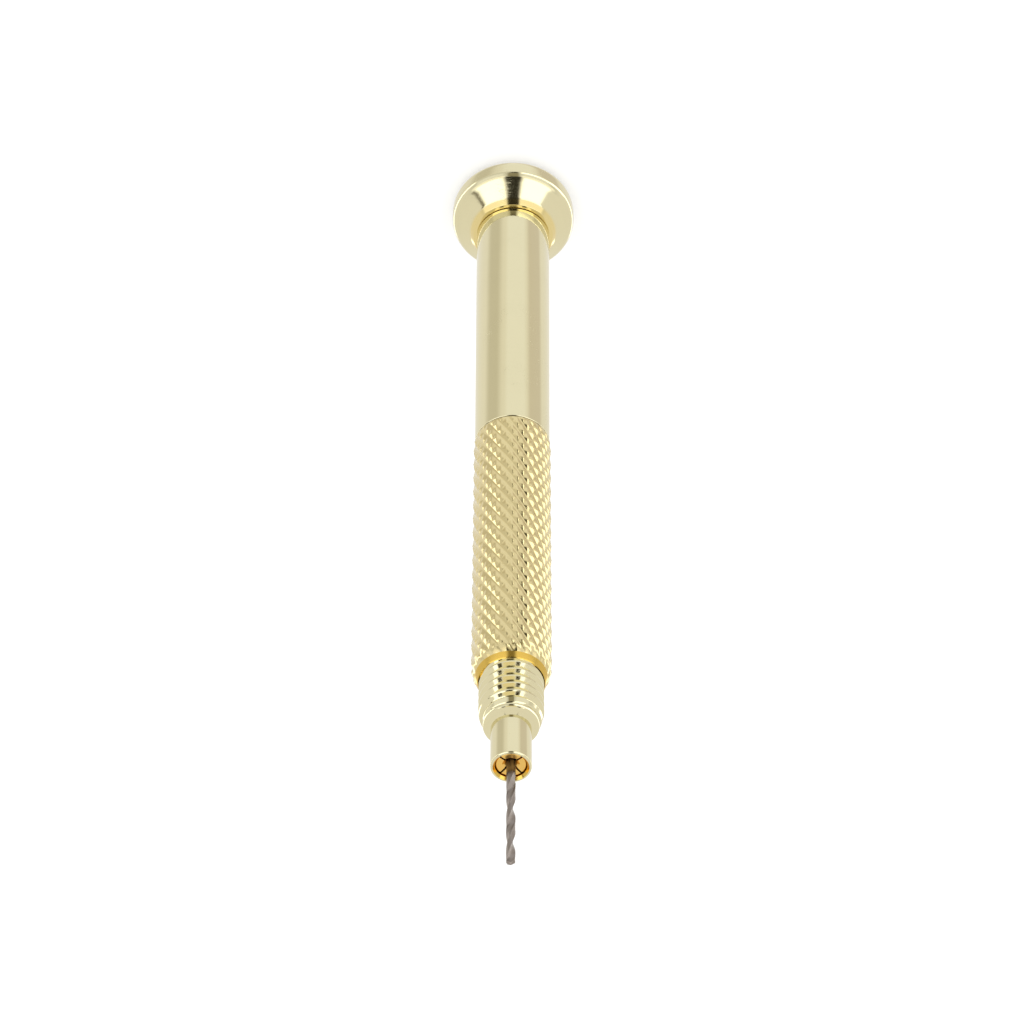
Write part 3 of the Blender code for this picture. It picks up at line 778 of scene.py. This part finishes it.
class PINVISE_OT_collet(Operator):
    """The collet: a flanged tube whose cone-nosed front is slit into four jaws"""
    bl_idname = "pin_vise.collet"
    bl_label = "Collet"

    def execute(self, context):
        settings = context.scene.pin_vise_chuck
        bore = DRILL_HIGH.x + 0.02 * MM
        bore_bottom = 62 * MM
        rear_bore = 0.62 * MM
        body = 1.4 * MM
        flange_top = COLLET_LOW.z + 1.4 * MM
        cone_start = 66 * MM
        front = 1.17 * MM
        outline = rounded([
            (COLLET_HIGH.x, COLLET_LOW.z, 0.1 * MM),
            (COLLET_HIGH.x, flange_top, 0.1 * MM),
            (body, flange_top),
            (body, cone_start),
            (front, COLLET_HIGH.z, 0.14 * MM),
            (0.66 * MM, COLLET_HIGH.z - 0.1 * MM, 0.06 * MM),
            (bore, COLLET_HIGH.z - 0.34 * MM),
            (bore, bore_bottom),
            (rear_bore, bore_bottom - 0.3 * MM),
            (rear_bore, COLLET_LOW.z),
        ], steps=5)
        mesh = bmesh.new()
        turn_outline(mesh, outline, 96)
        piece = finish_piece("collet_jaws", mesh, [jaw_brass()])
        slit_bottom = 57.5 * MM
        length = 2 * (COLLET_HIGH.z - slit_bottom)
        cutters = []
        for turn in (math.radians(45), math.radians(135)):
            plate = bmesh.new()
            size = Matrix.Diagonal((4 * COLLET_HIGH.x, settings.slit, length, 1))
            spot = Matrix.Rotation(turn, 4, "Z") @ Matrix.Translation((0, 0, slit_bottom + length / 2))
            bmesh.ops.create_cube(plate, size=1, matrix=spot @ size)
            cutter = finish_piece("slit_cutter", plate, [])
            modifier = piece.modifiers.new("Slit", "BOOLEAN")
            modifier.solver = "EXACT"
            modifier.object = cutter
            cutters.append(cutter)
        edge = piece.modifiers.new("Slit Edges", "BEVEL")
        edge.width = 0.035 * MM
        edge.segments = 2
        edge.limit_method = "ANGLE"
        edge.angle_limit = math.radians(50)
        settled = piece.evaluated_get(context.evaluated_depsgraph_get())
        piece.data = bpy.data.meshes.new_from_object(settled)
        piece.modifiers.clear()
        for cutter in cutters:
            bpy.data.objects.remove(cutter)
        place(piece, "collet_body", "collet")
        return {"FINISHED"}


class PINVISE_OT_drill(Operator):
    """The twist drill: plain shank, two helical flutes with narrow margins, and a ground point"""
    bl_idname = "pin_vise.drill"
    bl_label = "Twist Drill"

    def execute(self, context):
        settings = context.scene.pin_vise_drill
        radius = DRILL_HIGH.x
        tip = DRILL_HIGH.z
        segments = 60
        flute_start = 70.87 * MM
        runout = 1.6 * MM
        margin_width = math.radians(14)
        point = radius / math.tan(settings.point_angle / 2)
        rows = 150
        step = (tip - point - flute_start) / rows
        levels = [DRILL_LOW.z + 0.05 * MM, flute_start]
        levels += [flute_start + step * row for row in range(1, rows + 1)]
        levels += [tip - point * share for share in (0.85, 0.7, 0.5, 0.3, 0.12)]
        mesh = bmesh.new()
        current = ring(mesh, radius - 0.05 * MM, DRILL_LOW.z, segments)
        bridge(mesh, ring(mesh, 0, DRILL_LOW.z, segments), current)
        for z in levels:
            previous = current
            grown = max(0, min(1, (z - flute_start) / runout))
            depth = settings.flute_depth * grown
            clearance = 0.018 * MM * grown
            twist = 2 * math.pi * (z - flute_start) / settings.lead
            limit = radius * min(1, (tip - z) / point)
            current = []
            for i in range(segments):
                angle = 2 * math.pi * i / segments
                from_centre = (angle + math.pi / 2) % math.pi - math.pi / 2
                share = abs(from_centre) / settings.flute_width
                if share < 1:
                    r = radius - depth * math.sqrt(1 - share ** 2)
                else:
                    margin = -settings.flute_width - margin_width < from_centre < 0
                    r = radius if margin else radius - clearance
                r = min(r, limit)
                current.append(mesh.verts.new((r * math.cos(angle + twist), r * math.sin(angle + twist), z)))
            bridge(mesh, previous, current)
        bridge(mesh, current, ring(mesh, 0, tip, segments))
        piece = finish_piece("twist_drill", mesh, [drill_steel()], sharp=28)
        place(piece, "drill_bit", "drill")
        return {"FINISHED"}


class PINVISE_OT_inner_parts(Operator):
    """Finishes for the pieces inside: pivot screw, washers, bearing, plug and collet stop"""
    bl_idname = "pin_vise.inner_parts"
    bl_label = "Inner Parts"

    def execute(self, context):
        steel = ["pivot_screw", "screw_washer", "housing_washer", "shaft_washer", "collet_stop"]
        steel += [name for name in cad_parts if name.startswith("ball_") and name != "ball_cage"]
        for name in steel:
            self.dress(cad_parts[name], bearing_steel())
        for name in ("ball_cage", "pivot_plug"):
            self.dress(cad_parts[name], jaw_brass())
        return {"FINISHED"}

    @staticmethod
    def dress(node, material):
        """Give a solid of the frame its finish."""
        if not node.material_slots:
            node.data.materials.append(material)
        for slot in node.material_slots:
            slot.material = material


# ---------------------------------------------------------------- stage

# The tent's plain light, and its zones: sides, (from, to, softness) in degrees from the camera,
# (from, to, softness) in height, and colour. Each zone lies over those before it; the first three are
# the table top.
TENT_LIGHT = (0.92, 0.90, 0.86)
TENT_ZONES = (
    ("one", (-40, 20, 8), (-1.1, -0.64, 0.04), (1.0, 1.0, 1.0)),
    ("one", (-96, -50, 7), (-1.1, -0.64, 0.04), (0.75, 0.70, 0.65)),
    ("one", (40, 84, 12), (-1.1, -0.64, 0.04), (0.70, 0.67, 0.60)),
    ("both", (-10, 75, 8), (-0.62, 0.20, 0.03), (0.78, 0.77, 0.74)),
    ("both", (66, 150, 4), (-0.615, -0.50, 0.02), (2.3, 2.3, 2.25)),
    ("both", (15, 60, 4), (-0.475, -0.15, 0.03), (1.0, 1.0, 1.0)),
    ("one", (-92, -13, 3), (-0.57, -0.42, 0.02), (2.2, 2.2, 2.15)),
    ("both", (13, 70, 3), (-0.12, 0.14, 0.03), (1.25, 1.22, 1.15)),
    ("both", (17, 65, 3), (0.14, 0.87, 0.03), (1.9, 1.9, 1.9)),
    ("both", (-8, 8, 2), (-0.57, -0.42, 0.02), (0.06, 0.05, 0.03)),
    ("both", (-9, 9, 2), (-0.42, 0.06, 0.04), (0.32, 0.29, 0.20)),
    ("both", (-13, 13, 2.5), (0.04, 0.87, 0.04), (0.03, 0.028, 0.02)),
    ("both", (32, 50, 3), (0.855, 0.92, 0.01), (0.05, 0.04, 0.02)),
    ("both", (-29, 29, 3), (0.885, 0.93, 0.01), (0.95, 0.82, 0.48)),
    ("one", (68, 74, 2), (0.20, 0.62, 0.05), (0.20, 0.18, 0.14)),
)


class PINVISE_OT_stage(Operator):
    """The pale floor, the soft studio light and the camera"""
    bl_idname = "pin_vise.stage"
    bl_label = "Stage"

    def execute(self, context):
        self.make_floor(context)
        self.make_world(context)
        self.make_light(context)
        self.make_camera(context)
        return {"FINISHED"}

    def make_floor(self, context):
        """A wide plain floor under the cap; the metal mirrors the soft light beyond it."""
        mesh = bmesh.new()
        bmesh.ops.create_grid(mesh, x_segments=1, y_segments=1, size=3.0)
        material = bpy.data.materials.new("Studio Floor")
        material.use_nodes = True
        tree = material.node_tree
        shader = tree.nodes["Principled BSDF"]
        tone = context.scene.pin_vise_finish.floor
        shader.inputs["Base Color"].default_value = (*shade(tone, 0.5), 1)
        shader.inputs["Emission Color"].default_value = (*tone, 1)
        shader.inputs["Emission Strength"].default_value = 0.55
        shader.inputs["Roughness"].default_value = 0.9
        shader.inputs["Specular IOR Level"].default_value = 0
        clear = new_node(tree, "ShaderNodeBsdfTransparent")
        path = new_node(tree, "ShaderNodeLightPath")
        both = new_node(tree, "ShaderNodeMixShader", {0: path.outputs["Is Glossy Ray"], 1: shader.outputs[0],
                        2: clear.outputs[0]})
        tree.links.new(both.outputs[0], tree.nodes["Material Output"].inputs["Surface"])
        floor = finish_piece("studio_floor", mesh, [material], clean=False)

    def make_world(self, context):
        """A light tent, as soft-edged zones of brightness by compass angle from the camera and by height."""
        world = bpy.data.worlds.new("Light Tent")
        context.scene.world = world
        world.use_nodes = True
        tree = world.node_tree
        direction = new_node(tree, "ShaderNodeTexCoord").outputs["Generated"]
        split = new_node(tree, "ShaderNodeSeparateXYZ", {0: direction}).outputs
        height = split["Z"]
        side = maths(tree, "ARCTAN2", split["X"], maths(tree, "MULTIPLY", split["Y"], -1.0))
        side = maths(tree, "MULTIPLY", side, 180 / math.pi)
        away = maths(tree, "ABSOLUTE", side)
        colour = (*TENT_LIGHT, 1)
        for across, angles, heights, brightness in TENT_ZONES:
            mask = maths(tree, "MULTIPLY", self.band(tree, away if across == "both" else side, *angles),
                         self.band(tree, height, *heights))
            colour = mix_colour(tree, mask, colour, (*brightness, 1))
        tree.links.new(colour, tree.nodes["Background"].inputs["Color"])
        tree.nodes["Background"].inputs["Strength"].default_value = 1

    @staticmethod
    def band(tree, value, low, high, soft):
        """1 where the value lies between low and high, with soft edges."""
        rise = smooth_step(tree, value, low - soft, low + soft)
        return maths(tree, "MULTIPLY", rise, smooth_step(tree, value, high - soft, high + soft, 1.0, 0.0))

    def make_light(self, context):
        """A large soft lamp overhead that only brightens the floor."""
        lamp = bpy.data.lights.new("Overhead", "AREA")
        lamp.shape = "SQUARE"
        lamp.size = 1.6
        lamp.energy = 9
        light = bpy.data.objects.new("Overhead", lamp)
        light.location = (0, 0, 1.2)
        light.visible_glossy = False
        context.scene.collection.objects.link(light)

    def make_camera(self, context):
        """Looking at the tool from its drill end, 40 degrees off the axis, with the cap at the top."""
        target = Vector((0, 0, 40.5 * MM))
        tilt = math.radians(40.1)
        distance = 395.7 * MM
        look = Vector((0, math.sin(tilt), -math.cos(tilt)))
        up = Vector((0, -math.cos(tilt), -math.sin(tilt)))
        right = look.cross(up)
        turn = Matrix((right, up, -look)).transposed().to_4x4()
        lens = bpy.data.cameras.new("Camera")
        lens.sensor_width = 36
        lens.lens = 175.78125
        lens.clip_start = 10 * MM
        camera = bpy.data.objects.new("Camera", lens)
        lean = Matrix.Rotation(math.radians(0.22), 4, "Z")
        camera.matrix_world = Matrix.Translation(target - look * distance) @ turn @ lean
        context.scene.collection.objects.link(camera)
        context.scene.camera = camera
        context.scene.view_settings.view_transform = "Standard"
        context.scene.view_settings.look = "None"


# ---------------------------------------------------------------- panel and registration

class PINVISE_PT_panel(Panel):
    """The pin vise drill's pieces and settings"""
    bl_idname = "PINVISE_PT_panel"
    bl_label = "Pin Vise Drill"
    bl_space_type = "VIEW_3D"
    bl_region_type = "UI"
    bl_category = "Pin Vise"

    def draw(self, context):
        layout = self.layout
        for operator in PIECES:
            layout.operator(operator.bl_idname)
        layout.operator(PINVISE_OT_stage.bl_idname)
        for settings in SETTINGS:
            group = getattr(context.scene, settings)
            box = layout.box()
            for name in group.bl_rna.properties.keys():
                if name not in ("rna_type", "name"):
                    box.prop(group, name)


SETTINGS = {
    "pin_vise_cap": CapSettings,
    "pin_vise_grip": GripSettings,
    "pin_vise_chuck": ChuckSettings,
    "pin_vise_drill": DrillSettings,
    "pin_vise_finish": FinishSettings,
}
PIECES = (
    PINVISE_OT_cap,
    PINVISE_OT_cover,
    PINVISE_OT_tube,
    PINVISE_OT_grip,
    PINVISE_OT_sleeve,
    PINVISE_OT_collet,
    PINVISE_OT_drill,
    PINVISE_OT_inner_parts,
)
CLASSES = (*SETTINGS.values(), *PIECES, PINVISE_OT_stage, PINVISE_PT_panel)


def register():
    for item in CLASSES:
        bpy.utils.register_class(item)
    for name, settings in SETTINGS.items():
        setattr(bpy.types.Scene, name, PointerProperty(type=settings))


def unregister():
    for name in SETTINGS:
        delattr(bpy.types.Scene, name)
    for item in reversed(CLASSES):
        bpy.utils.unregister_class(item)


def main():
    """Build the tool and its stage."""
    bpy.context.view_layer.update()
    register()
    bpy.ops.pin_vise.cap()
    bpy.ops.pin_vise.cover()
    bpy.ops.pin_vise.tube()
    bpy.ops.pin_vise.grip()
    bpy.ops.pin_vise.sleeve()
    bpy.ops.pin_vise.collet()
    bpy.ops.pin_vise.drill()
    bpy.ops.pin_vise.inner_parts()
    bpy.ops.pin_vise.stage()


if __name__ == "__main__":
    main()
